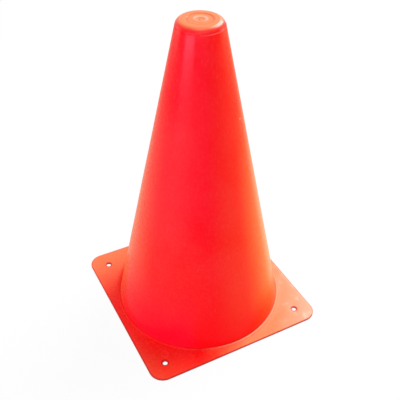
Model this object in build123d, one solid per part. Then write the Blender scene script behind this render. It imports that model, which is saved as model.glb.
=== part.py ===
from build123d import *
import math
import os

# A sports marker cone: a square base plate, a thin tapered shell and a round top cap,
# snapped together for good. Millimetres, +Z up, origin on the floor under the cone's axis.

# Overall sizes
HEIGHT = 228.6
PLATE_SIDE = 138.0
TOP_DIAMETER = 30.8
WALL = 1.6

# Base plate
PLATE_THICKNESS = 1.4
PLATE_CORNER_RADIUS = 10.5
PLATE_EDGE_ROUND = 0.5
PEG_HOLE_DIAMETER = 3.4
PEG_HOLE_INSET = 13.5
PEG_HOLE_EDGE_ROUND = 0.8

# Collar on the plate that grips the foot of the shell, and the ledge that carries it
COLLAR_MARGIN = 5.1
COLLAR_WIDTH = 1.2
COLLAR_HEIGHT = 0.6
COLLAR_ROUND = 0.3
COLLAR_ROOT_ROUND = 0.15
SOCKET_EDGE_ROUND = 0.1
LEDGE_THICKNESS = 0.7
LEDGE_REACH = 1.1
FOOT_CLEARANCE = 0.15
FOOT_EDGE_ROUND = 0.3

# Cap, its spigot in the shell's mouth, and the bead that snaps into the mouth's groove
CAP_HEIGHT = 3.4
RIM_ROUND = 4.0
ROOF_THICKNESS = 1.2
SEAM_STEP = 0.2
SEAM_ROUND = 0.3
LIP_ROUND = 0.1
SPIGOT_LENGTH = 8.0
SPIGOT_WALL = 1.4
SPIGOT_CLEARANCE = 0.15
SPIGOT_LEAD_IN = 0.4
LAND_RUN_OUT = 1.0
BEAD_HEIGHT = 0.35
BEAD_WIDTH = 1.6

# Turned face of the cap: equal bands from the middle to the edge of the flat
BAND_COUNT = 4
RECESS_DEPTH = 0.25
GATE_RING_HEIGHT = 0.2
DIMPLE_DEPTH = 0.35
FACE_ROUND = 0.2
ROOF_CORNER_ROUND = 0.8

# The largest share of a wall that its rounded edges may take up
ROUND_SHARE = 0.7

# Heights
collar_top = PLATE_THICKNESS + COLLAR_HEIGHT
seam_height = HEIGHT - CAP_HEIGHT
recess_height = HEIGHT - RECESS_DEPTH
dimple_height = recess_height - DIMPLE_DEPTH
roof_height = dimple_height - ROOF_THICKNESS
spigot_end = seam_height - SPIGOT_LENGTH
land_end = spigot_end - LAND_RUN_OUT
bead_height = seam_height - SPIGOT_LENGTH / 2

# The shell's outer wall is a straight taper from the collar to the seam under the cap
collar_radius = PLATE_SIDE / 2 - COLLAR_MARGIN
foot_radius = collar_radius - COLLAR_WIDTH - FOOT_CLEARANCE
seam_radius = TOP_DIAMETER / 2
taper = (foot_radius - seam_radius) / (seam_height - PLATE_THICKNESS)
taper_angle = math.atan(taper)
wall_across = WALL / math.cos(taper_angle)


def outer_radius(height):
    """Outside of the shell's wall at a height above the floor."""
    return foot_radius - taper * (height - PLATE_THICKNESS)


foot_inner_radius = outer_radius(LEDGE_THICKNESS) - wall_across
opening_radius = foot_inner_radius - LEDGE_REACH
mouth_radius = seam_radius - wall_across
spigot_radius = mouth_radius - SPIGOT_CLEARANCE

# The cap's side follows the taper, a step inside the shell, and an arc turns it into the flat top
lip_radius = seam_radius - SEAM_STEP
edge_radius = lip_radius - taper * CAP_HEIGHT
side_length = CAP_HEIGHT / math.cos(taper_angle)
rim_turn = math.tan((math.pi / 2 - taper_angle) / 2)
rim_round = min(RIM_ROUND, (side_length - 2 * LIP_ROUND) / rim_turn)
flat_radius = edge_radius - rim_round * rim_turn
band = flat_radius / BAND_COUNT


def turned(outline):
    """Solid of revolution about Z from a closed outline of radius and height."""
    return revolve(Plane.XZ * make_face(outline), Axis.Z)


def ring_edges(solid, radius, height):
    """Round edges of a solid at one radius and height."""
    return solid.edges().filter_by(
        lambda edge: edge.geom_type == GeomType.CIRCLE
        and math.isclose(edge.radius, radius, abs_tol=0.001)
        and math.isclose(edge.center().Z, height, abs_tol=0.001)
    )


def snap_points(radius):
    """Bead on the spigot, or the groove that takes it, from the top down, with 45 degree flanks."""
    half = BEAD_WIDTH / 2
    return [
        (radius, bead_height + half),
        (radius + BEAD_HEIGHT, bead_height + half - BEAD_HEIGHT),
        (radius + BEAD_HEIGHT, bead_height - half + BEAD_HEIGHT),
        (radius, bead_height - half),
    ]


def base_plate():
    """Square plate with peg holes, a raised collar and a ledge under the foot."""
    plate = extrude(RectangleRounded(PLATE_SIDE, PLATE_SIDE, PLATE_CORNER_RADIUS), PLATE_THICKNESS)
    plate = fillet(plate.faces().sort_by(Axis.Z)[-1].edges(), PLATE_EDGE_ROUND)

    hole_spacing = PLATE_SIDE - 2 * PEG_HOLE_INSET
    for spot in GridLocations(hole_spacing, hole_spacing, 2, 2):
        plate -= spot * Cylinder(PEG_HOLE_DIAMETER / 2, 3 * PLATE_THICKNESS)
    plate = fillet(ring_edges(plate, PEG_HOLE_DIAMETER / 2, PLATE_THICKNESS), PEG_HOLE_EDGE_ROUND)

    plate += extrude(Circle(collar_radius), collar_top)
    socket = [
        (0, LEDGE_THICKNESS),
        (outer_radius(LEDGE_THICKNESS) + FOOT_CLEARANCE, LEDGE_THICKNESS),
        (outer_radius(collar_top) + FOOT_CLEARANCE, collar_top),
        (0, collar_top),
    ]
    plate -= turned(Polyline(*socket, close=True))
    plate -= Cylinder(opening_radius, 3 * PLATE_THICKNESS)

    crest_round = min(COLLAR_ROUND, ROUND_SHARE * COLLAR_HEIGHT, ROUND_SHARE * COLLAR_WIDTH / 2)
    root_round = min(COLLAR_ROOT_ROUND, ROUND_SHARE * (COLLAR_HEIGHT - crest_round))
    plate = fillet(ring_edges(plate, collar_radius, collar_top), crest_round)
    plate = fillet(ring_edges(plate, collar_radius, PLATE_THICKNESS), root_round)
    socket_mouth = outer_radius(collar_top) + FOOT_CLEARANCE
    return fillet(ring_edges(plate, socket_mouth, collar_top), SOCKET_EDGE_ROUND)


def cone_shell():
    """Hollow taper, open at the foot, with a straight grooved land inside its mouth."""
    shoulder = taper * (seam_height - land_end) / (1 - taper)
    outline = [
        (outer_radius(LEDGE_THICKNESS), LEDGE_THICKNESS),
        (seam_radius, seam_height),
        (mouth_radius, seam_height),
        *snap_points(mouth_radius),
        (mouth_radius, land_end),
        (mouth_radius + shoulder, land_end - shoulder),
        (foot_inner_radius, LEDGE_THICKNESS),
    ]
    rounds = [FOOT_EDGE_ROUND, SEAM_ROUND, SEAM_ROUND, 0, 0, 0, 0, 0, 0, FOOT_EDGE_ROUND]
    return turned(FilletPolyline(*outline, radius=rounds, close=True))


def top_cap():
    """Round cap with a turned face, a rounded rim and a snap-in spigot."""
    face = [
        (0, dimple_height),
        (band / 2, dimple_height),
        (1.5 * band, recess_height + GATE_RING_HEIGHT),
        (2 * band, recess_height),
        (3 * band - RECESS_DEPTH, recess_height),
        (3 * band, HEIGHT),
    ]
    outside = [
        (edge_radius, HEIGHT),
        (lip_radius, seam_height),
    ]
    under = [
        (spigot_radius, seam_height),
        *snap_points(spigot_radius),
        (spigot_radius, spigot_end),
        (spigot_radius - SPIGOT_WALL, spigot_end),
        (spigot_radius - SPIGOT_WALL, roof_height),
        (0, roof_height),
    ]
    face_rounds = [FACE_ROUND] * 5
    outside_rounds = [rim_round, LIP_ROUND]
    under_rounds = [0, 0, 0, 0, 0, SPIGOT_LEAD_IN, SPIGOT_LEAD_IN, ROOF_CORNER_ROUND]
    outline = FilletPolyline(*face, *outside, *under, radius=face_rounds + outside_rounds + under_rounds)
    axis = Line((0, roof_height), (0, dimple_height))
    return turned(Curve() + [outline, axis])


os.makedirs("parts", exist_ok=True)
export_step(base_plate(), "parts/base_plate.step")
export_step(cone_shell(), "parts/cone_shell.step")
export_step(top_cap(), "parts/top_cap.step")
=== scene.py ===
import math

import bmesh
import bpy
from mathutils import Matrix, Quaternion, Vector, noise
from mathutils.geometry import delaunay_2d_cdt


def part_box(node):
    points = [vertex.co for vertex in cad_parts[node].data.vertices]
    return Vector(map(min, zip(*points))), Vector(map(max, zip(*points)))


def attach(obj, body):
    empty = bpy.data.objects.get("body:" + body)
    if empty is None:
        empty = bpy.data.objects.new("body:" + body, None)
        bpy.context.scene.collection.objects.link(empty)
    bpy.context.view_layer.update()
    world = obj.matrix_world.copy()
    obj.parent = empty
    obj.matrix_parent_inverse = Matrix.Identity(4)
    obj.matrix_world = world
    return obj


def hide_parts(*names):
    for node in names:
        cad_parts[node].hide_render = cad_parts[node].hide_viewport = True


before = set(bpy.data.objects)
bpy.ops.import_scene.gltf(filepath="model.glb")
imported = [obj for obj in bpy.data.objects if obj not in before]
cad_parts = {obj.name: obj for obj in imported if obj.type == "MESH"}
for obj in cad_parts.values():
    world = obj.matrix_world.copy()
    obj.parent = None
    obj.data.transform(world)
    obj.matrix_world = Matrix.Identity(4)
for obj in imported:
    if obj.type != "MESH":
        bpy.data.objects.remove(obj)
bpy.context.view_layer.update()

MM = 0.001
UP = (0, 0, 1)
BACK = (0, 1, 0)
ACROSS = (1, 1, 0)

# Sizes taken from the frame
_, plate_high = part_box("base_plate")
shell_low, shell_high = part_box("cone_shell")
cap_low, cap_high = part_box("top_cap")
plate_half = plate_high.x
collar_top = plate_high.z
ledge_top = shell_low.z
seam_height = shell_high.z
top_height = cap_high.z
spigot_end = cap_low.z

# Sizes of the plate
PLATE_THICKNESS = 1.4 * MM
CORNER_RADIUS = 10.5 * MM
EDGE_ROUND = 0.5 * MM
UNDER_EDGE_ROUND = 0.25 * MM
HOLE_INSET = 13.5 * MM
HOLE_RADIUS = 1.7 * MM
HOLE_ROUND = 0.8 * MM
HOLE_UNDER_ROUND = 0.4 * MM
CORNER_LIFT = 0.3 * MM
LIFT_START = 70 * MM
LIFT_END = 94 * MM

# Sizes of the collar round the foot
COLLAR_MARGIN = 5.1 * MM
COLLAR_WIDTH = 1.2 * MM
COLLAR_ROUND = 0.3 * MM
COLLAR_ROOT_ROUND = 0.15 * MM
SOCKET_EDGE_ROUND = 0.1 * MM
SOCKET_GAP = 0.03 * MM
FOOT_CLEARANCE = 0.15 * MM
LEDGE_REACH = 1.1 * MM

# Sizes of the shell
WALL = 1.6 * MM
TOP_RADIUS = 15.4 * MM
FOOT_ROUND = 0.3 * MM
SEAM_ROUND = 0.2 * MM
LAND_RUN_OUT = 1.0 * MM
WALL_RING_STEP = 3 * MM
WALL_WOBBLE = 0.12 * MM
WOBBLE_SCALE = 1.6

# Sizes of the cap and of the bead that holds it in the shell
SEAM_STEP = 0.2 * MM
RIM_ROUND = 4.0 * MM
LIP_ROUND = 0.1 * MM
SPIGOT_CLEARANCE = 0.15 * MM
SPIGOT_WALL = 1.4 * MM
SPIGOT_LEAD_IN = 0.4 * MM
BEAD_HEIGHT = 0.35 * MM
BEAD_WIDTH = 1.6 * MM
BAND_COUNT = 4
RECESS_DEPTH = 0.25 * MM
GATE_RING_HEIGHT = 0.2 * MM
DIMPLE_DEPTH = 0.35 * MM
ROOF_THICKNESS = 1.2 * MM
FACE_ROUND = 0.2 * MM
GATE_RING_ROUND = 0.6 * MM
ROOF_CORNER_ROUND = 0.8 * MM
CAP_SHIFT = (-0.124 * MM, 0.065 * MM, 0)
GATE_NUB_RADIUS = 0.55 * MM
GATE_NUB_FOOT = 0.75 * MM
GATE_NUB_HEIGHT = 0.2 * MM
GATE_NUB_ROUND = 0.1 * MM

# Fineness of the meshes
ROUND_STEPS = 5
ROUND_STEP = 0.25 * MM
TURNED_SEGMENTS = 256
HOLE_SEGMENTS = 40
SIDE_POINTS = 24
CORNER_STEPS = 14
GRID_STEP = 5 * MM
FILL_INSIDE = 1
FILL_MERGE = 1e-6
SHARP_ANGLE = math.radians(35)

# Colours, linear
DEEP_RED = (1.0, 0.001, 0.006, 1)
# Red of the foot's painted reflection of the red plate
FOOT_REFLECTION_RED = (1.0, 0.001, 0.021, 1)
# Red of a painted cool reflection
COOL_REFLECTION_RED = (1.0, 0.0, 0.034, 1)
LIVELY_RED = (1.0, 0.010, 0.014, 1)
BRIGHT_RED = (1.0, 0.028, 0.021, 1)
# Paler red for rubbed streaks and a ring mark, and for a painted reflection
RUBBED_AND_REFLECTION_RED = (1.0, 0.09, 0.07, 1)
# Orange of painted light
PAINTED_LIGHT_RED = (0.98, 0.30, 0.12, 1)
# Pale red for scuffs, a nick and turning marks, and for painted highlights and a painted pool of light
SCUFF_AND_HIGHLIGHT_RED = (1.0, 0.60, 0.46, 1)
# Orange of painted light on the lit side and on the cap's top
PAINTED_LIGHT_ORANGE = (0.95, 0.25, 0.04, 1)
# Darker orange of painted shade in the cap's groove
GROOVE_SHADE_RED = (0.8, 0.12, 0.03, 1)
# Dark red of painted shade
PAINTED_SHADE_RED = (0.42, 0.003, 0.006, 1)
WARM_GLOSS = (1.0, 0.8, 0.55, 1)
ORANGE_SHEEN = (1.0, 0.42, 0.06, 1)
FLOOR_SHADE = (0.7, 0.7, 0.7, 1)
FLOOR_WHITE = (0.92, 0.92, 0.92, 1)

# The plastic itself: noise scales, the levels of noise that show, bumps and gloss
CLOUD_SCALE = 30
CLOUD_RANGE = (0.35, 0.65)
MOTTLE_SCALE = 420
MOTTLE_DETAIL = 4.0
MOTTLE_ROUGHNESS = 0.6
MOTTLE_RANGE = (0.4, 0.8)
MOTTLE_SHARE = 0.5
MOTTLE_DEPTH = 0.05 * MM
MOTTLE_STRENGTH = 0.35
GRAIN_SCALE = 1800
GRAIN_DETAIL = 2.0
GRAIN_DEPTH = 0.02 * MM
GRAIN_STRENGTH = 0.3
GLOSS_RANGE = (0.3, 0.7)
PLASTIC_IOR = 1.5
SHEEN_ROUGHNESS = 0.35

# Marks come in over a span, from its first value to its second, and take up to their share of the colour.
# A turn is how far the surface faces the side of the painted light: 1 towards it and -1 away from it.
# Side across the floor that the painted light comes from
LIGHT_SIDE = (0.885, -0.466, 0)

# Streaks of the wall, and the painted reflections on it: deeper red at the foot, paler and cooler on the
# side away from the light
STREAK_STRETCH = (1, 1, 0.05)
STREAK_SCALE = 900
STREAK_DETAIL = 2.0
STREAK_RANGE = (0.6, 0.75)
STREAK_SHARE = 0.25
FOOT_TURN = (0.05, -0.15)
FOOT_HEIGHTS = (4 * MM, 62 * MM)
FOOT_SHARE = 0.8
REFLECTION_TURN = (0.1, -0.5)
REFLECTION_TOP = (190 * MM, 160 * MM)
REFLECTION_MIDDLE = (60 * MM, 120 * MM)
REFLECTION_SHARES = (0.12, 0.2)
REFLECTION_FOOT = (15 * MM, 45 * MM)
COOL_TURN = (0.5, 0.1)
COOL_HEIGHTS = (70 * MM, 120 * MM)
COOL_SHARE = 0.25

# Painted light on the wall: lighter and more orange towards the light, less so on the far side, most of it
# low down
PAINTED_LIGHT_HEIGHTS = (45 * MM, 225 * MM)
PAINTED_LIGHT_FOOT = (7 * MM, 33 * MM)
PAINTED_LIGHT_FOOT_SHARE = 0.3
WARM_TURN = (0.15, 0.6)
WARM_SHARE = 0.095
SUNNY_TURN = (0.58, 1.15)
SUNNY_SHARE = 0.95
DULLED_TURN = (0.4, 0.9)
DULLED_HEIGHTS = (90 * MM, 170 * MM)
DULL_SIDE_LIGHT_SHARE = 0.07
EDGE_HIGHLIGHT_TURN = (0.9, 1.0)
EDGE_HIGHLIGHT_SHARE = 0.35
FAR_TURN = (-0.6, -1.15)
FAR_HEIGHTS = (15 * MM, 70 * MM)
FAR_SHARE = 0.47
FAR_EDGE_TURN = (-0.88, -1)
FAR_EDGE_SHARE = 0.25

# Painted highlight at the seam, a nick, painted shade above the collar, and gloss of the wall; the offsets
# are from the seam and from the collar's top
SEAM_HIGHLIGHT_OFFSETS = (-0.8 * MM, -0.3 * MM)
SEAM_HIGHLIGHT_TURN = (-0.1, 0.4)
SEAM_HIGHLIGHT_SHARE = 0.13
NICK_PLACE = (17.7 * MM, -21.3 * MM, 167.0 * MM)
NICK_RADIUS = 0.9 * MM
CREASE_SHADE_OFFSETS = (0.3 * MM, 1.2 * MM)
CREASE_SHADE_TURN = (0, 0.6)
CREASE_SHADE_SHARE = 0.6
CREASE_SHADE_FAR_SHARE = 0.15
WALL_ROUGHNESS = (0.24, 0.32)
WALL_COAT = 0.1
DULLED_COAT = 0.03
TOP_GLOSS_HEIGHTS = (205 * MM, 228 * MM)
TOP_GLOSS = 1.9

# Painted light and scuffs of the plate, with painted highlights: reach towards the light, backwards or
# outwards, from the middle
PATCH_SCALE = 60
PATCH_REACH = 20 * MM
PLATE_SUNNY_REACH = (8 * MM, 56 * MM)
PLATE_SUNNY_SHARE = 0.79
PLATE_REAR_REACH = (14 * MM, 85 * MM)
PLATE_REAR_SHARE = 0.68
PLATE_CORNER_REACH = (62 * MM, 97 * MM)
PLATE_CORNER_SHARE = 0.2
BLOTCH_SCALE = 140
BLOTCH_DETAIL = 5.0
BLOTCH_ROUGHNESS = 0.65
BLOTCH_RANGE = (0.5, 0.7)
BLOTCH_SHARES = (0.4, 1)
SCUFF_REACH = (65 * MM, 100 * MM)
SCUFF_ROUGHNESS = 0.2
RIDGE_ABOVE_PLATE = 0.2 * MM
RIDGE_BELOW_TOP = 0.05 * MM
RIDGE_SHARE = 0.4
MARK_PLACE = (-52.6 * MM, -48.6 * MM, PLATE_THICKNESS)
MARK_RADIUS = 2.4 * MM
MARK_WIDTH = 0.7 * MM
MARK_SHARE = 0.4

# Painted shade and gloss of the plate; the offsets are from the collar, the edge, the holes and the plate's
# top
OUTSIDE_OFFSETS = (-1 * MM, 4 * MM)
UPRIGHT_RANGE = (0.5, 0.95)
UPRIGHT_SHARE = 0.95
BORDER_OFFSETS = (-1.1 * MM, -0.3 * MM)
BORDER_SHARE = 0.6
HOLE_SHADE_OFFSETS = (0.9 * MM, 1.4 * MM)
HOLE_SHADE_SHARE = 0.7
ROOT_OFFSET = 0.4 * MM
ROOT_WIDTH = 0.6 * MM
ROOT_SHARE = 0.3
GAP_OFFSETS = (-1.1 * MM, -0.5 * MM)
GAP_SHARE = 0.5
MATT_OFFSETS = (0.1 * MM, 0.4 * MM)
MATT_REACH = (0, 20 * MM)
MATT_ROUGHNESS = 0.45
PLATE_ROUGHNESS = (0.22, 0.3)

# Painted light, painted shade in the groove, painted highlight on the crest, turning marks and gloss of the
# cap; UP in a name is how far the surface faces the sky
CAP_LIGHT_OFFSETS = (-3.5 * MM, -0.6 * MM)
CAP_LIGHT_UP = (0.15, 0.5)
CAP_LIGHT_SHARE = 0.8
GROOVE_RADIUS = 8.2 * MM
GROOVE_WIDTH = 1.1 * MM
GROOVE_SHARE = 0.8
GROOVE_MATT = (0.4 * MM, 1.1 * MM)
GROOVE_COAT = 0.5
CREST_RADIUS = 3.8 * MM
CREST_WIDTH = 1.4 * MM
CREST_SIDE = (0.846, 0.533, 0)
CREST_REACH = (-5 * MM, 2 * MM)
CREST_SHARE = 0.8
TURNING_SCALE = 1600
TURNING_RANGE = (0.45, 0.7)
TURNING_SHARE = 0.25
TURNING_DEPTH = 0.02 * MM
TURNING_STRENGTH = 0.4
CAP_ROUGHNESS_UP = (0.3, 0.7)
CAP_ROUGHNESS = (0.4, 0.3)
CAP_COAT_UP = (0.3, 0.75)
CAP_COAT = (0.35, 1)

# The studio
FLOOR_RADIUS = 4
FLOOR_SEGMENTS = 96
FLOOR_DROP = 0.05 * MM
FLOOR_GLOW = 0.92
WORLD_LEVEL = 0.52
LIGHT_TARGET = (0, 0, 90 * MM)
WHITE_LIGHT = (1, 1, 1)
AMBER_LIGHT = (1.0, 0.75, 0.4)
WARM_LIGHT = (1.0, 0.85, 0.65)
SKY_LIGHT = (0.5, 0.62, 1.0)

# The camera, as fitted to the photograph
IMAGE_PIXELS = 400
FOCAL_PIXELS = 641
SENSOR_MM = 36
CAMERA_AZIMUTH = math.radians(-27.77)
CAMERA_RANGE = 356.12 * MM
CAMERA_HEIGHT = 384.65 * MM
CAMERA_PITCH = math.radians(39.475)
CAMERA_YAW = math.radians(0.130)
CAMERA_ROLL = math.radians(0.566)
CAMERA_CLIP_START = 10 * MM

# Shared places, and the shape of the tapered wall
hole_place = plate_half - HOLE_INSET
collar_radius = plate_half - COLLAR_MARGIN
foot_radius = collar_radius - COLLAR_WIDTH - FOOT_CLEARANCE
taper = (foot_radius - TOP_RADIUS) / (seam_height - PLATE_THICKNESS)
taper_angle = math.atan(taper)
wall_across = WALL / math.cos(taper_angle)
mouth_radius = TOP_RADIUS - wall_across
spigot_radius = mouth_radius - SPIGOT_CLEARANCE


def outer_radius(height):
    """Outside of the tapered wall at a height above the floor."""
    return foot_radius - taper * (height - PLATE_THICKNESS)


opening_radius = outer_radius(ledge_top) - wall_across - LEDGE_REACH


def rounded(points, radii):
    """Path through the points, each corner replaced by an arc of its radius."""
    path = []
    last = len(points) - 1
    for index, (point, radius) in enumerate(zip(points, radii)):
        corner = Vector(point)
        if radius == 0 or index in (0, last):
            path.append(corner)
            continue
        before = (Vector(points[index - 1]) - corner).normalized()
        after = (Vector(points[index + 1]) - corner).normalized()
        half = before.angle(after) / 2
        centre = corner + (before + after).normalized() * (radius / math.sin(half))
        start = corner + before * (radius / math.tan(half)) - centre
        end = corner + after * (radius / math.tan(half)) - centre
        turn = start.angle_signed(end)
        steps = max(ROUND_STEPS, math.ceil(radius / ROUND_STEP))
        for step in range(steps + 1):
            path.append(centre + Matrix.Rotation(-turn * step / steps, 2) @ start)
    return path


def divided(path, longest):
    """The same path with extra points, so that no stretch is longer than asked."""
    result = [path[0]]
    for a, b in zip(path, path[1:]):
        count = max(1, math.ceil((b - a).length / longest))
        result.extend(a.lerp(b, step / count) for step in range(1, count + 1))
    return result


def snap_points(radius):
    """Bead on the spigot, or the groove that takes it, from the top down, with 45 degree flanks."""
    middle = (seam_height + spigot_end) / 2
    half = BEAD_WIDTH / 2
    return [
        (radius, middle + half),
        (radius + BEAD_HEIGHT, middle + half - BEAD_HEIGHT),
        (radius + BEAD_HEIGHT, middle - half + BEAD_HEIGHT),
        (radius, middle - half),
    ]


def ring(mesh, radius, height, segments=TURNED_SEGMENTS, centre=(0, 0)):
    """One closed loop of vertices."""
    angles = [2 * math.pi * step / segments for step in range(segments)]
    return [
        mesh.verts.new((centre[0] + radius * math.cos(a), centre[1] + radius * math.sin(a), height))
        for a in angles
    ]


def strip(mesh, lower, upper):
    """Quads between two loops of the same length."""
    for index in range(len(lower)):
        after = (index + 1) % len(lower)
        mesh.faces.new((lower[index], lower[after], upper[after], upper[index]))


def turned(mesh, path, first=None, last=None):
    """Surface of revolution along a path of radius and height; its ends may be loops that exist."""
    previous = None
    for index, (radius, height) in enumerate(path):
        if index == 0 and first:
            current = first
        elif index == len(path) - 1 and last:
            current = last
        elif radius == 0:
            current = [mesh.verts.new((0, 0, height))]
        else:
            current = ring(mesh, radius, height)
        if previous and len(previous) == len(current):
            strip(mesh, previous, current)
        elif previous:
            pole, loop = sorted((previous, current), key=len)
            for step in range(len(loop)):
                mesh.faces.new((pole[0], loop[step], loop[(step + 1) % len(loop)]))
        previous = current


def piece(name, mesh, node, material):
    """Turns a mesh under construction into a piece that stands for a CAD node."""
    bmesh.ops.recalc_face_normals(mesh, faces=mesh.faces)
    data = bpy.data.meshes.new(name)
    mesh.to_mesh(data)
    mesh.free()
    data.shade_smooth()
    data.set_sharp_from_angle(angle=SHARP_ANGLE)
    data.materials.append(material)
    body = bpy.data.objects.new(name, data)
    bpy.context.scene.collection.objects.link(body)
    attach(body, "root")
    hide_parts(node)


def square_loop(mesh, inset, height):
    """Rounded square, drawn in from the plate's outline, with points along its sides."""
    radius = CORNER_RADIUS - inset
    straight = plate_half - CORNER_RADIUS
    loop = []
    for quarter in range(4):
        turn = Matrix.Rotation(quarter * math.pi / 2, 2)
        for step in range(SIDE_POINTS):
            along = -straight + 2 * straight * step / SIDE_POINTS
            loop.append(turn @ Vector((straight + radius, along)))
        for step in range(CORNER_STEPS):
            angle = math.pi / 2 * step / CORNER_STEPS
            spot = (straight + radius * math.cos(angle), straight + radius * math.sin(angle))
            loop.append(turn @ Vector(spot))
    return [mesh.verts.new((spot.x, spot.y, height)) for spot in loop]


def fill(mesh, outline, islands, height):
    """Flat face between an outline and round islands, with a grid of points inside to bend by.

    An island is its loop of vertices, its centre and its radius.
    """
    loops = [outline] + [loop for loop, _, _ in islands]
    known = [vertex for loop in loops for vertex in loop]
    edges = []
    for loop in loops:
        start = len(edges)
        edges.extend((start + step, start + (step + 1) % len(loop)) for step in range(len(loop)))
    spots = [vertex.co.xy / MM for vertex in known]

    def clear(spot, gap):
        return all((spot - centre).length > radius + gap for _, centre, radius in islands)

    steps = int((plate_half - GRID_STEP / 2) / GRID_STEP)
    for column in range(-steps, steps + 1):
        for row in range(-steps, steps + 1):
            spot = Vector((column, row)) * GRID_STEP
            short_of_corner = abs(spot.x) + abs(spot.y) < 2 * plate_half - CORNER_RADIUS
            if short_of_corner and clear(spot, GRID_STEP / 2):
                spots.append(spot / MM)
    points, _, faces, sources, _, _ = delaunay_2d_cdt(spots, edges, [], FILL_INSIDE, FILL_MERGE)
    verts = []
    for point, source in zip(points, sources):
        if source and source[0] < len(known):
            verts.append(known[source[0]])
        else:
            verts.append(mesh.verts.new((point.x * MM, point.y * MM, height)))
    for face in faces:
        corners = [verts[index] for index in face]
        middle = sum((vertex.co.xy for vertex in corners), Vector((0, 0))) / len(corners)
        if clear(middle, 0):
            mesh.faces.new(corners)
    for vertex in verts:
        if not vertex.link_faces:
            mesh.verts.remove(vertex)


def peg_hole(mesh, spot):
    """Walls of one peg hole; returns its rims on the top and on the underside as islands."""
    wall = rounded(
        [(2 * HOLE_ROUND, PLATE_THICKNESS), (0, PLATE_THICKNESS), (0, 0), (2 * HOLE_UNDER_ROUND, 0)],
        [0, HOLE_ROUND, HOLE_UNDER_ROUND, 0],
    )[1:-1]
    loops = [ring(mesh, HOLE_RADIUS + out, height, HOLE_SEGMENTS, spot) for out, height in wall]
    for upper, lower in zip(loops, loops[1:]):
        strip(mesh, upper, lower)
    rim = (loops[0], spot, HOLE_RADIUS + HOLE_ROUND)
    foot = (loops[-1], spot, HOLE_RADIUS + HOLE_UNDER_ROUND)
    return rim, foot


def collar(mesh):
    """Collar, socket and ledge; returns the collar's root and the open mouth as islands."""
    path = rounded(
        [
            (collar_radius + COLLAR_WIDTH, PLATE_THICKNESS),
            (collar_radius, PLATE_THICKNESS),
            (collar_radius, collar_top),
            (outer_radius(collar_top) + SOCKET_GAP, collar_top),
            (outer_radius(ledge_top) + SOCKET_GAP, ledge_top),
            (opening_radius, ledge_top),
            (opening_radius, 0),
        ],
        [0, COLLAR_ROOT_ROUND, COLLAR_ROUND, SOCKET_EDGE_ROUND, 0, 0, 0],
    )[1:]
    root = ring(mesh, *path[0])
    mouth = ring(mesh, *path[-1])
    turned(mesh, path, root, mouth)
    centre = Vector((0, 0))
    return (root, centre, path[0].x), (mouth, centre, path[-1].x)


def build_plate(material):
    """Square plate: rounded edges, a peg hole in each corner, and the collar round the foot."""
    mesh = bmesh.new()
    edge = rounded(
        [(2 * EDGE_ROUND, PLATE_THICKNESS), (0, PLATE_THICKNESS), (0, 0), (2 * EDGE_ROUND, 0)],
        [0, EDGE_ROUND, UNDER_EDGE_ROUND, 0],
    )[1:-1]
    outlines = [square_loop(mesh, inset, height) for inset, height in edge]
    for upper, lower in zip(outlines, outlines[1:]):
        strip(mesh, upper, lower)

    root, mouth = collar(mesh)
    on_top = [root]
    underneath = [mouth]
    for x in (-hole_place, hole_place):
        for y in (-hole_place, hole_place):
            rim, foot = peg_hole(mesh, Vector((x, y)))
            on_top.append(rim)
            underneath.append(foot)
    fill(mesh, outlines[0], on_top, PLATE_THICKNESS)
    fill(mesh, outlines[-1], underneath, 0)

    for vertex in mesh.verts:
        reach = (vertex.co.xy.length - LIFT_START) / (LIFT_END - LIFT_START)
        vertex.co.z += CORNER_LIFT * min(max(reach, 0), 1) ** 2
    piece("base_plate_moulding", mesh, "base_plate", material)


def build_shell(material):
    """Thin tapered wall, a little uneven as moulded, with a straight grooved land inside its mouth."""
    mesh = bmesh.new()
    land_end = spigot_end - LAND_RUN_OUT
    shoulder = taper * (seam_height - land_end) / (1 - taper)
    foot = outer_radius(ledge_top)
    path = rounded(
        [
            (foot - wall_across / 2, ledge_top),
            (foot, ledge_top),
            (TOP_RADIUS, seam_height),
            (mouth_radius, seam_height),
            *snap_points(mouth_radius),
            (mouth_radius, land_end),
            (mouth_radius + shoulder, land_end - shoulder),
            (foot - wall_across, ledge_top),
            (foot - wall_across / 2, ledge_top),
        ],
        [0, FOOT_ROUND, SEAM_ROUND, SEAM_ROUND, 0, 0, 0, 0, 0, 0, FOOT_ROUND, 0],
    )
    path = divided(path, WALL_RING_STEP)
    start = ring(mesh, *path[0])
    turned(mesh, path, start, start)
    for vertex in mesh.verts:
        share = (vertex.co.z - ledge_top) / (seam_height - ledge_top)
        outward = vertex.co.xy.normalized()
        place = Vector((outward.x, outward.y, vertex.co.z / foot)) * WOBBLE_SCALE
        swell = WALL_WOBBLE * math.sin(math.pi * min(max(share, 0), 1)) * noise.noise(place)
        vertex.co.xy += outward * swell
    piece("cone_wall", mesh, "cone_shell", material)


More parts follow.
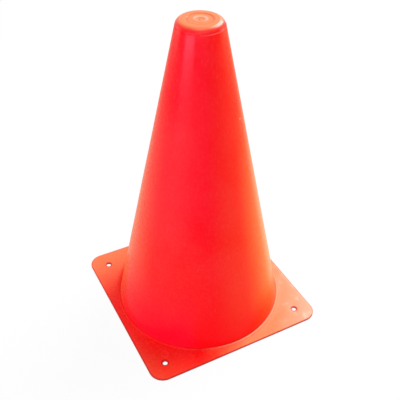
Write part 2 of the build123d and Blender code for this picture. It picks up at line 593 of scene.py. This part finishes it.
def build_cap(material):
    """Round cap, a little to one side: turned face with a gate mark, rounded rim, and a beaded spigot."""
    mesh = bmesh.new()
    lip_radius = TOP_RADIUS - SEAM_STEP
    edge_radius = lip_radius - taper * (top_height - seam_height)
    flat_radius = edge_radius - RIM_ROUND * math.tan((math.pi / 2 - taper_angle) / 2)
    band = flat_radius / BAND_COUNT
    recess = top_height - RECESS_DEPTH
    dimple = recess - DIMPLE_DEPTH
    roof = dimple - ROOF_THICKNESS
    nub = [
        (0, dimple + GATE_NUB_HEIGHT),
        (GATE_NUB_RADIUS, dimple + GATE_NUB_HEIGHT),
        (GATE_NUB_FOOT, dimple),
    ]
    face = [
        (band / 2, dimple),
        (1.5 * band, recess + GATE_RING_HEIGHT),
        (2 * band, recess),
        (3 * band - RECESS_DEPTH, recess),
        (3 * band, top_height),
    ]
    outside = [
        (edge_radius, top_height),
        (lip_radius, seam_height),
    ]
    under = [
        (spigot_radius, seam_height),
        *snap_points(spigot_radius),
        (spigot_radius, spigot_end),
        (spigot_radius - SPIGOT_WALL, spigot_end),
        (spigot_radius - SPIGOT_WALL, roof),
        (0, roof),
    ]
    nub_rounds = [0, GATE_NUB_ROUND, GATE_NUB_ROUND]
    face_rounds = [FACE_ROUND, GATE_RING_ROUND, FACE_ROUND, FACE_ROUND, FACE_ROUND]
    outside_rounds = [RIM_ROUND, LIP_ROUND]
    under_rounds = [0, 0, 0, 0, 0, SPIGOT_LEAD_IN, SPIGOT_LEAD_IN, ROOF_CORNER_ROUND, 0]
    turned(mesh, rounded(
        nub + face + outside + under,
        nub_rounds + face_rounds + outside_rounds + under_rounds,
    ))
    bmesh.ops.translate(mesh, verts=mesh.verts, vec=CAP_SHIFT)
    piece("top_cap_turned", mesh, "top_cap", material)


class Shading:
    """Short ways to add and join the nodes of a material or of the world."""

    def __init__(self, owner):
        owner.use_nodes = True
        self.tree = owner.node_tree
        self.tree.nodes.clear()

    def add(self, kind, **values):
        node = self.tree.nodes.new(kind)
        for key, value in values.items():
            setattr(node, key, value)
        return node

    def feed(self, value, socket):
        """A number, vector or colour is set on the socket, and another node's output is joined to it."""
        if isinstance(value, bpy.types.NodeSocket):
            self.tree.links.new(value, socket)
        else:
            socket.default_value = value

    def place(self):
        return self.add("ShaderNodeTexCoord").outputs["Object"]

    def facing(self, direction):
        normal = self.add("ShaderNodeNewGeometry").outputs["Normal"]
        return self.vector("DOT_PRODUCT", normal, direction)

    def noise(self, place, scale, detail=3.0, roughness=0.55):
        node = self.add("ShaderNodeTexNoise")
        self.feed(place, node.inputs["Vector"])
        self.feed(scale, node.inputs["Scale"])
        self.feed(detail, node.inputs["Detail"])
        self.feed(roughness, node.inputs["Roughness"])
        return node.outputs["Fac"]

    def ripple(self, distance, scale, detail=2.0):
        """Noise along one measure, the same all the way round."""
        node = self.add("ShaderNodeTexNoise", noise_dimensions="1D")
        self.feed(distance, node.inputs["W"])
        self.feed(scale, node.inputs["Scale"])
        self.feed(detail, node.inputs["Detail"])
        return node.outputs["Fac"]

    def span(self, value, low, high, to_low=0.0, to_high=1.0):
        """Smooth step from to_low, where the value is at low, to to_high, where it is at high."""
        node = self.add("ShaderNodeMapRange", interpolation_type="SMOOTHSTEP")
        self.feed(value, node.inputs["Value"])
        self.feed(low, node.inputs["From Min"])
        self.feed(high, node.inputs["From Max"])
        self.feed(to_low, node.inputs["To Min"])
        self.feed(to_high, node.inputs["To Max"])
        return node.outputs["Result"]

    def math(self, operation, *values):
        node = self.add("ShaderNodeMath", operation=operation)
        for socket, value in zip(node.inputs, values):
            self.feed(value, socket)
        return node.outputs["Value"]

    def product(self, first, *others):
        for other in others:
            first = self.math("MULTIPLY", first, other)
        return first

    def largest(self, first, *others):
        for other in others:
            first = self.math("MAXIMUM", first, other)
        return first

    def off(self, value, middle):
        """How far a value is from the middle, on either side."""
        return self.math("ABSOLUTE", self.math("SUBTRACT", value, middle))

    def vector(self, operation, *values):
        node = self.add("ShaderNodeVectorMath", operation=operation)
        for socket, value in zip(node.inputs, values):
            self.feed(value, socket)
        gives_number = operation in ("DOT_PRODUCT", "DISTANCE", "LENGTH")
        return node.outputs["Value" if gives_number else "Vector"]

    def blend(self, share, first, second):
        node = self.add("ShaderNodeMix", data_type="RGBA")
        self.feed(share, node.inputs["Factor"])
        colours = [socket for socket in node.inputs if socket.type == "RGBA"]
        self.feed(first, colours[0])
        self.feed(second, colours[1])
        return next(socket for socket in node.outputs if socket.type == "RGBA")

    def bump(self, height, distance, strength, before=None):
        node = self.add("ShaderNodeBump")
        self.feed(height, node.inputs["Height"])
        self.feed(distance, node.inputs["Distance"])
        self.feed(strength, node.inputs["Strength"])
        if before:
            self.feed(before, node.inputs["Normal"])
        return node.outputs["Normal"]

    def seen(self):
        """One for what the camera sees, straight, mirrored or through glass, and nought for other light."""
        path = self.add("ShaderNodeLightPath").outputs
        return self.largest(path["Is Camera Ray"], path["Is Glossy Ray"], path["Is Transmission Ray"])

    def finish(self, colour, roughness, normal, gloss, coat, coat_roughness, sheen):
        """The plastic's own shader, joined to the material's output."""
        shader = self.add("ShaderNodeBsdfPrincipled")
        self.feed(colour, shader.inputs["Base Color"])
        self.feed(roughness, shader.inputs["Roughness"])
        self.feed(normal, shader.inputs["Normal"])
        self.feed(PLASTIC_IOR, shader.inputs["IOR"])
        self.feed(gloss, shader.inputs["Specular IOR Level"])
        self.feed(WARM_GLOSS, shader.inputs["Specular Tint"])
        self.feed(coat, shader.inputs["Coat Weight"])
        self.feed(coat_roughness, shader.inputs["Coat Roughness"])
        self.feed(normal, shader.inputs["Coat Normal"])
        self.feed(sheen, shader.inputs["Sheen Weight"])
        self.feed(SHEEN_ROUGHNESS, shader.inputs["Sheen Roughness"])
        self.feed(ORANGE_SHEEN, shader.inputs["Sheen Tint"])
        output = self.add("ShaderNodeOutputMaterial")
        self.feed(shader.outputs["BSDF"], output.inputs["Surface"])


def around(middle, offsets):
    """The two ends of a span that is given by its offsets from a place."""
    return [middle + offset for offset in offsets]


def red_plastic(shade, place):
    """Colour of the moulded plastic, its fine mottle, and the bump of the mottle and of a finer grain."""
    cloud = shade.noise(place, CLOUD_SCALE)
    mottle = shade.noise(place, MOTTLE_SCALE, MOTTLE_DETAIL, MOTTLE_ROUGHNESS)
    grain = shade.noise(place, GRAIN_SCALE, GRAIN_DETAIL)
    colour = shade.blend(shade.span(cloud, *CLOUD_RANGE), DEEP_RED, LIVELY_RED)
    colour = shade.blend(shade.span(mottle, *MOTTLE_RANGE, 0, MOTTLE_SHARE), colour, BRIGHT_RED)
    waves = shade.bump(mottle, MOTTLE_DEPTH, MOTTLE_STRENGTH)
    return colour, mottle, shade.bump(grain, GRAIN_DEPTH, GRAIN_STRENGTH, waves)


def wall_painted_reflections(shade, colour, height, towards_light):
    """Painted reflections: deeper red at the foot where the red plate is mirrored; a paler reflection on
    the side away from the light and, higher up, a cooler one.
    """
    # Painted reflection of the red plate: deeper red towards the foot
    foot = shade.blend(shade.span(towards_light, *FOOT_TURN), DEEP_RED, FOOT_REFLECTION_RED)
    colour = shade.blend(shade.span(height, *FOOT_HEIGHTS, FOOT_SHARE, 0), colour, foot)
    # Painted reflection: paler red on the side away from the light, strongest at mid heights
    painted_reflection = shade.product(
        shade.span(towards_light, *REFLECTION_TURN),
        shade.span(height, *REFLECTION_TOP),
        shade.span(height, *REFLECTION_MIDDLE, *REFLECTION_SHARES),
        shade.span(height, *REFLECTION_FOOT),
    )
    colour = shade.blend(painted_reflection, colour, RUBBED_AND_REFLECTION_RED)
    # Painted cool reflection on the side away from the light, higher up
    cool_reflection = shade.product(
        shade.span(towards_light, *COOL_TURN, 0, COOL_SHARE),
        shade.span(height, *COOL_HEIGHTS),
    )
    return shade.blend(cool_reflection, colour, COOL_REFLECTION_RED)


def wall_painted_light(shade, colour, height, towards_light, dull_and_lit):
    """Painted light: the side towards the light lighter and more orange, with a pale painted highlight down
    it, and the far side and its edge lighter too; most of it is low down.
    """
    low_down = shade.product(
        shade.span(height, *PAINTED_LIGHT_HEIGHTS, 1, 0),
        shade.span(height, *PAINTED_LIGHT_FOOT, PAINTED_LIGHT_FOOT_SHARE, 1),
    )
    # Painted light: lighter and more orange towards the light, low down
    warm = shade.product(low_down, shade.span(towards_light, *WARM_TURN, 0, WARM_SHARE))
    colour = shade.blend(warm, colour, PAINTED_LIGHT_ORANGE)
    lit_share = shade.product(low_down, shade.span(towards_light, *SUNNY_TURN, 0, SUNNY_SHARE))
    lit_share = shade.largest(lit_share, shade.product(dull_and_lit, DULL_SIDE_LIGHT_SHARE))
    colour = shade.blend(lit_share, colour, PAINTED_LIGHT_ORANGE)
    # Painted highlight down the side that faces the light
    edge_highlight = shade.product(low_down, shade.span(towards_light, *EDGE_HIGHLIGHT_TURN, 0, EDGE_HIGHLIGHT_SHARE))
    colour = shade.blend(edge_highlight, colour, SCUFF_AND_HIGHLIGHT_RED)
    # Painted light on the far side and its edge
    far = shade.product(
        low_down,
        shade.span(towards_light, *FAR_TURN, 0, FAR_SHARE),
        shade.span(height, *FAR_HEIGHTS),
    )
    colour = shade.blend(far, colour, PAINTED_LIGHT_RED)
    far_edge = shade.product(low_down, shade.span(towards_light, *FAR_EDGE_TURN, 0, FAR_EDGE_SHARE))
    return shade.blend(far_edge, colour, PAINTED_LIGHT_RED)


def wall_nick_highlight_and_shade(shade, colour, place, height, towards_light):
    """Painted highlight along the lip under the cap, a small nick, and painted shade just above the collar.
    """
    # Painted highlight along the lip under the cap, on the lit side
    seam_highlight = shade.product(
        shade.span(height, *around(seam_height, SEAM_HIGHLIGHT_OFFSETS), 0, SEAM_HIGHLIGHT_SHARE),
        shade.span(towards_light, *SEAM_HIGHLIGHT_TURN),
    )
    colour = shade.blend(seam_highlight, colour, SCUFF_AND_HIGHLIGHT_RED)
    nick = shade.span(shade.vector("DISTANCE", place, NICK_PLACE), NICK_RADIUS, 0)
    colour = shade.blend(nick, colour, SCUFF_AND_HIGHLIGHT_RED)
    # Painted shade in the crease just above the collar
    crease_shade = shade.product(
        shade.span(height, *around(collar_top, CREASE_SHADE_OFFSETS), CREASE_SHADE_SHARE, 0),
        shade.span(towards_light, *CREASE_SHADE_TURN, CREASE_SHADE_FAR_SHARE, 1),
    )
    return shade.blend(crease_shade, colour, PAINTED_SHADE_RED)


def shell_material():
    """Satin wall: streaked along its height where one cone slides over another, with painted light,
    reflections, highlights and shade, and a nick.
    """
    material = bpy.data.materials.new("satin_red_plastic")
    shade = Shading(material)
    place = shade.place()
    height = shade.vector("DOT_PRODUCT", place, UP)
    towards_light = shade.facing(LIGHT_SIDE)
    # Lit side at mid heights: a duller coat there, and a share of painted light in its colour
    dull_and_lit = shade.product(shade.span(towards_light, *DULLED_TURN), shade.span(height, *DULLED_HEIGHTS))

    colour, mottle, normal = red_plastic(shade, place)
    stretched = shade.vector("MULTIPLY", place, STREAK_STRETCH)
    streaks = shade.noise(stretched, STREAK_SCALE, STREAK_DETAIL)
    rubbed = shade.span(streaks, *STREAK_RANGE, 0, STREAK_SHARE)
    colour = shade.blend(rubbed, colour, RUBBED_AND_REFLECTION_RED)
    colour = wall_painted_reflections(shade, colour, height, towards_light)
    colour = wall_painted_light(shade, colour, height, towards_light, dull_and_lit)
    colour = wall_nick_highlight_and_shade(shade, colour, place, height, towards_light)

    roughness = shade.math("ADD", shade.span(mottle, *GLOSS_RANGE, *WALL_ROUGHNESS), rubbed)
    coat = shade.product(
        shade.span(dull_and_lit, 0, 1, WALL_COAT, DULLED_COAT),
        shade.span(height, *TOP_GLOSS_HEIGHTS, 1, TOP_GLOSS),
    )
    shade.finish(colour, roughness, normal, gloss=0.02, coat=coat, coat_roughness=0.22, sheen=0.42)
    return material


def plate_painted_shade(shade, place, outward, outside, lit_share):
    """Share of painted shade: on upright edges, along the border, round the holes and beside the collar."""
    upright = shade.span(shade.math("ABSOLUTE", shade.facing(UP)), *UPRIGHT_RANGE, UPRIGHT_SHARE, 0)
    in_quarter = shade.vector("ABSOLUTE", place)
    corner = plate_half - CORNER_RADIUS
    past_corner = shade.vector("SUBTRACT", in_quarter, (corner, corner, CORNER_RADIUS))
    to_edge = shade.vector("LENGTH", shade.vector("MAXIMUM", past_corner, (0, 0, 0)))
    border = shade.span(to_edge, *around(CORNER_RADIUS, BORDER_OFFSETS), 0, BORDER_SHARE)
    edges = shade.largest(shade.product(upright, outside), border)
    hole = (hole_place, hole_place, PLATE_THICKNESS)
    from_hole = shade.vector("DISTANCE", in_quarter, hole)
    rims = shade.span(from_hole, *around(HOLE_RADIUS, HOLE_SHADE_OFFSETS), HOLE_SHADE_SHARE, 0)
    root = shade.span(shade.off(outward, collar_radius + ROOT_OFFSET), ROOT_WIDTH, 0, 0, ROOT_SHARE)
    gap = shade.span(outward, *around(collar_radius, GAP_OFFSETS), GAP_SHARE, 0)
    beside_collar = shade.product(shade.largest(root, gap), lit_share)
    return shade.largest(edges, rims, beside_collar)


def plate_material():
    """Glossy plate with painted light on the lit side, at the rear and in its corners, with scuffs, painted
    highlights, a ring mark and painted shade.
    """
    material = bpy.data.materials.new("glossy_red_plastic")
    shade = Shading(material)
    place = shade.place()
    height = shade.vector("DOT_PRODUCT", place, UP)
    outward = shade.vector("LENGTH", place)
    outside = shade.span(outward, *around(collar_radius, OUTSIDE_OFFSETS))
    patch = shade.product(shade.noise(place, PATCH_SCALE), PATCH_REACH)
    lightward = shade.math("ADD", shade.vector("DOT_PRODUCT", place, LIGHT_SIDE), patch)
    backward = shade.math("ADD", shade.vector("DOT_PRODUCT", place, BACK), patch)

    colour, mottle, normal = red_plastic(shade, place)
    # Painted light: lighter and more orange towards the light, at the rear and in the corners; the cone's
    # shade is left deep red
    lit_share = shade.span(lightward, *PLATE_SUNNY_REACH, 0, PLATE_SUNNY_SHARE)
    rear = shade.product(shade.span(backward, *PLATE_REAR_REACH, 0, PLATE_REAR_SHARE), outside)
    corners = shade.span(outward, *PLATE_CORNER_REACH, 0, PLATE_CORNER_SHARE)
    colour = shade.blend(shade.largest(lit_share, rear, corners), colour, PAINTED_LIGHT_RED)

    # Scuffs on the corner towards the light, over a painted pool of light there
    blotches = shade.noise(place, BLOTCH_SCALE, BLOTCH_DETAIL, BLOTCH_ROUGHNESS)
    pale = shade.span(blotches, *BLOTCH_RANGE, *BLOTCH_SHARES)
    scuffs_and_light = shade.product(pale, shade.span(lightward, *SCUFF_REACH))
    # Painted highlight on the collar's crest, on the lit side
    ridge_foot = PLATE_THICKNESS + RIDGE_ABOVE_PLATE
    ridge_top = collar_top - RIDGE_BELOW_TOP
    ridge_highlight = shade.product(
        shade.span(height, ridge_foot, ridge_top, 0, RIDGE_SHARE),
        shade.math("SUBTRACT", lit_share, outside),
    )
    scuffs_and_light = shade.largest(scuffs_and_light, ridge_highlight)
    colour = shade.blend(scuffs_and_light, colour, SCUFF_AND_HIGHLIGHT_RED)

    off_mark = shade.off(shade.vector("DISTANCE", place, MARK_PLACE), MARK_RADIUS)
    colour = shade.blend(shade.span(off_mark, MARK_WIDTH, 0, 0, MARK_SHARE), colour, RUBBED_AND_REFLECTION_RED)
    # Painted shade on the edges, in the holes and beside the collar
    colour = shade.blend(plate_painted_shade(shade, place, outward, outside, lit_share), colour, PAINTED_SHADE_RED)

    matt_collar = shade.product(
        shade.span(height, *around(PLATE_THICKNESS, MATT_OFFSETS)),
        shade.span(lightward, *MATT_REACH, MATT_ROUGHNESS, 0),
    )
    worn = shade.largest(
        shade.product(scuffs_and_light, SCUFF_ROUGHNESS),
        shade.math("SUBTRACT", matt_collar, outside),
    )
    roughness = shade.math("ADD", shade.span(mottle, *GLOSS_RANGE, *PLATE_ROUGHNESS), worn)
    shade.finish(colour, roughness, normal, gloss=0.26, coat=0.0, coat_roughness=0.2, sheen=0.1)
    return material


def cap_material():
    """Glossy cap with painted light where it faces the sky, painted shade in its groove, a painted
    highlight on its crest, and turning marks round its middle.
    """
    material = bpy.data.materials.new("turned_red_plastic")
    shade = Shading(material)
    place = shade.place()
    up = shade.facing(UP)
    from_axis = shade.vector("LENGTH", shade.vector("MULTIPLY", place, ACROSS))

    colour, _, normal = red_plastic(shade, place)
    # Painted light on the faces that look up
    cap_painted_light = shade.product(
        shade.span(from_axis, *around(TOP_RADIUS, CAP_LIGHT_OFFSETS), CAP_LIGHT_SHARE, 0),
        shade.span(up, *CAP_LIGHT_UP),
    )
    colour = shade.blend(cap_painted_light, colour, PAINTED_LIGHT_ORANGE)
    # Painted shade in the groove
    off_groove = shade.off(from_axis, GROOVE_RADIUS)
    groove_shade = shade.product(shade.span(off_groove, GROOVE_WIDTH, 0, 0, GROOVE_SHARE), cap_painted_light)
    colour = shade.blend(groove_shade, colour, GROOVE_SHADE_RED)

    turning = shade.ripple(from_axis, TURNING_SCALE)
    # Painted highlight on the far crest of the gate ring
    crest_highlight = shade.product(
        shade.span(shade.off(from_axis, CREST_RADIUS), CREST_WIDTH, 0),
        shade.span(shade.vector("DOT_PRODUCT", place, CREST_SIDE), *CREST_REACH, 0, CREST_SHARE),
    )
    pale = shade.largest(shade.span(turning, *TURNING_RANGE, 0, TURNING_SHARE), crest_highlight)
    colour = shade.blend(shade.product(pale, cap_painted_light), colour, SCUFF_AND_HIGHLIGHT_RED)

    normal = shade.bump(turning, TURNING_DEPTH, TURNING_STRENGTH, normal)
    roughness = shade.span(up, *CAP_ROUGHNESS_UP, *CAP_ROUGHNESS)
    coat = shade.product(
        shade.span(up, *CAP_COAT_UP, *CAP_COAT),
        shade.span(off_groove, *GROOVE_MATT, GROOVE_COAT, 1),
    )
    shade.finish(colour, roughness, normal, gloss=0.02, coat=coat, coat_roughness=0.29, sheen=0.1)
    return material


def floor_material():
    """Pale floor that is seen as white, with the object's shadow left in it."""
    material = bpy.data.materials.new("pale_floor")
    shade = Shading(material)
    seen = shade.seen()
    matte = shade.add("ShaderNodeBsdfDiffuse")
    shade.feed(shade.blend(seen, FLOOR_SHADE, FLOOR_WHITE), matte.inputs["Color"])
    white = shade.add("ShaderNodeEmission")
    mixed = shade.add("ShaderNodeMixShader")
    shade.feed(shade.product(seen, FLOOR_GLOW), mixed.inputs["Fac"])
    shade.feed(matte.outputs["BSDF"], mixed.inputs[1])
    shade.feed(white.outputs["Emission"], mixed.inputs[2])
    output = shade.add("ShaderNodeOutputMaterial")
    shade.feed(mixed.outputs["Shader"], output.inputs["Surface"])
    return material


def build_floor():
    """A wide round floor under the cone."""
    mesh = bmesh.new()
    bmesh.ops.create_circle(mesh, cap_ends=True, segments=FLOOR_SEGMENTS, radius=FLOOR_RADIUS)
    data = bpy.data.meshes.new("floor")
    mesh.to_mesh(data)
    mesh.free()
    data.materials.append(floor_material())
    floor = bpy.data.objects.new("floor", data)
    floor.location.z = -FLOOR_DROP
    bpy.context.scene.collection.objects.link(floor)


def build_world():
    """Even light from all round; the world itself is seen as white."""
    world = bpy.data.worlds.new("studio")
    bpy.context.scene.world = world
    shade = Shading(world)
    background = shade.add("ShaderNodeBackground")
    output = shade.add("ShaderNodeOutputWorld")
    shade.feed(shade.span(shade.seen(), 0, 1, WORLD_LEVEL, 1), background.inputs["Strength"])
    shade.feed(background.outputs["Background"], output.inputs["Surface"])


def softbox(name, side, rise, distance, width, height, radiance, colour=WHITE_LIGHT, roll=0):
    """Rectangle of even light, placed by its angle from the camera's side and from the floor."""
    azimuth = CAMERA_AZIMUTH + math.radians(side)
    rise = math.radians(rise)
    away = Vector((math.sin(azimuth) * math.cos(rise), -math.cos(azimuth) * math.cos(rise), math.sin(rise)))
    light = bpy.data.lights.new(name, "AREA")
    light.shape = "RECTANGLE"
    light.size = width
    light.size_y = height
    light.energy = radiance * math.pi * width * height
    light.color = colour
    lamp = bpy.data.objects.new(name, light)
    lamp.location = Vector(LIGHT_TARGET) + away * distance
    turn = Quaternion(UP, math.radians(roll))
    lamp.rotation_euler = (away.to_track_quat("Z", "Y") @ turn).to_euler()
    lamp.visible_camera = False
    bpy.context.scene.collection.objects.link(lamp)


def build_lights():
    """Soft lights all round: sizes and distances in metres, angles in degrees."""
    softbox("front_fill", side=10, rise=24, distance=1.3, width=1.2, height=0.9, radiance=1.3)
    softbox("rim_right", side=140, rise=42, distance=1.2, width=0.9, height=0.6, radiance=7.4, roll=-47)
    softbox(
        "side_right", side=110, rise=3, distance=0.9, width=0.5, height=0.3, radiance=5.8,
        colour=AMBER_LIGHT,
    )
    softbox(
        "side_left", side=-108, rise=3, distance=1.0, width=0.5, height=0.4, radiance=3.7,
        colour=WARM_LIGHT,
    )
    softbox("overhead", side=0, rise=84, distance=1.2, width=0.5, height=0.5, radiance=2.4)
    softbox(
        "window_left", side=-42, rise=5, distance=1.1, width=0.75, height=0.17, radiance=15.5,
        colour=SKY_LIGHT, roll=8,
    )


def build_camera():
    """Camera where the photograph was taken from."""
    forward = Vector((
        math.sin(CAMERA_YAW) * math.cos(CAMERA_PITCH),
        math.cos(CAMERA_YAW) * math.cos(CAMERA_PITCH),
        -math.sin(CAMERA_PITCH),
    ))
    level = Vector((math.cos(CAMERA_YAW), -math.sin(CAMERA_YAW), 0))
    up = level.cross(forward)
    across = level * math.cos(CAMERA_ROLL) + up * math.sin(CAMERA_ROLL)
    upright = up * math.cos(CAMERA_ROLL) - level * math.sin(CAMERA_ROLL)
    axes = Matrix((across, upright, -forward)).transposed().to_4x4()
    place = Matrix.Translation((0, -CAMERA_RANGE, CAMERA_HEIGHT))
    data = bpy.data.cameras.new("camera")
    data.sensor_width = SENSOR_MM
    data.lens = SENSOR_MM * FOCAL_PIXELS / IMAGE_PIXELS
    data.clip_start = CAMERA_CLIP_START
    camera = bpy.data.objects.new("camera", data)
    camera.matrix_world = Matrix.Rotation(CAMERA_AZIMUTH, 4, "Z") @ place @ axes
    bpy.context.scene.collection.objects.link(camera)
    bpy.context.scene.camera = camera


build_plate(plate_material())
build_shell(shell_material())
build_cap(cap_material())
build_floor()
build_world()
build_lights()
build_camera()
bpy.context.scene.view_settings.view_transform = "Standard"
